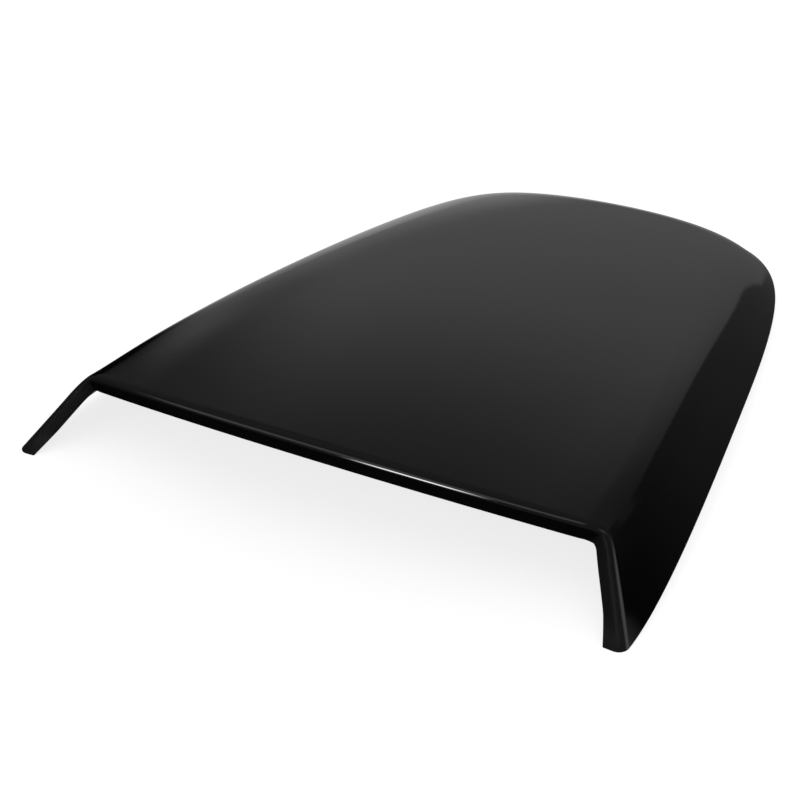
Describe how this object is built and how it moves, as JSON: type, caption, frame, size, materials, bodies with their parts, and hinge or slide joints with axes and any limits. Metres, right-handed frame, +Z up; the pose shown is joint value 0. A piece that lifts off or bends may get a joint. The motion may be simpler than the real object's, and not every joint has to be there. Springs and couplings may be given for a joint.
{
  "type": "bonnet scoop",
  "caption": "Moulded gloss black bonnet scoop: a low domed shell with a wide front mouth between two raked legs, an open underside and a gently arched rim to bond down.",
  "frame": {"origin": "on the plane through the leg tips and the tail edge, midway between the two flanks and midway between the leg tips and the tail edge", "axes": "+Z up, away from the bonnet; +Y towards the tail; the mouth faces -Y and +X is to the right of someone who looks into the mouth"},
  "size_m": [0.5358, 0.712, 0.0812],
  "materials": {
    "gloss_black_shell": "high-gloss black moulding with a clear, smooth surface"
  },
  "bodies": {
    "root": {"scoop_shell": "gloss_black_shell"}
  },
  "joints": []
}
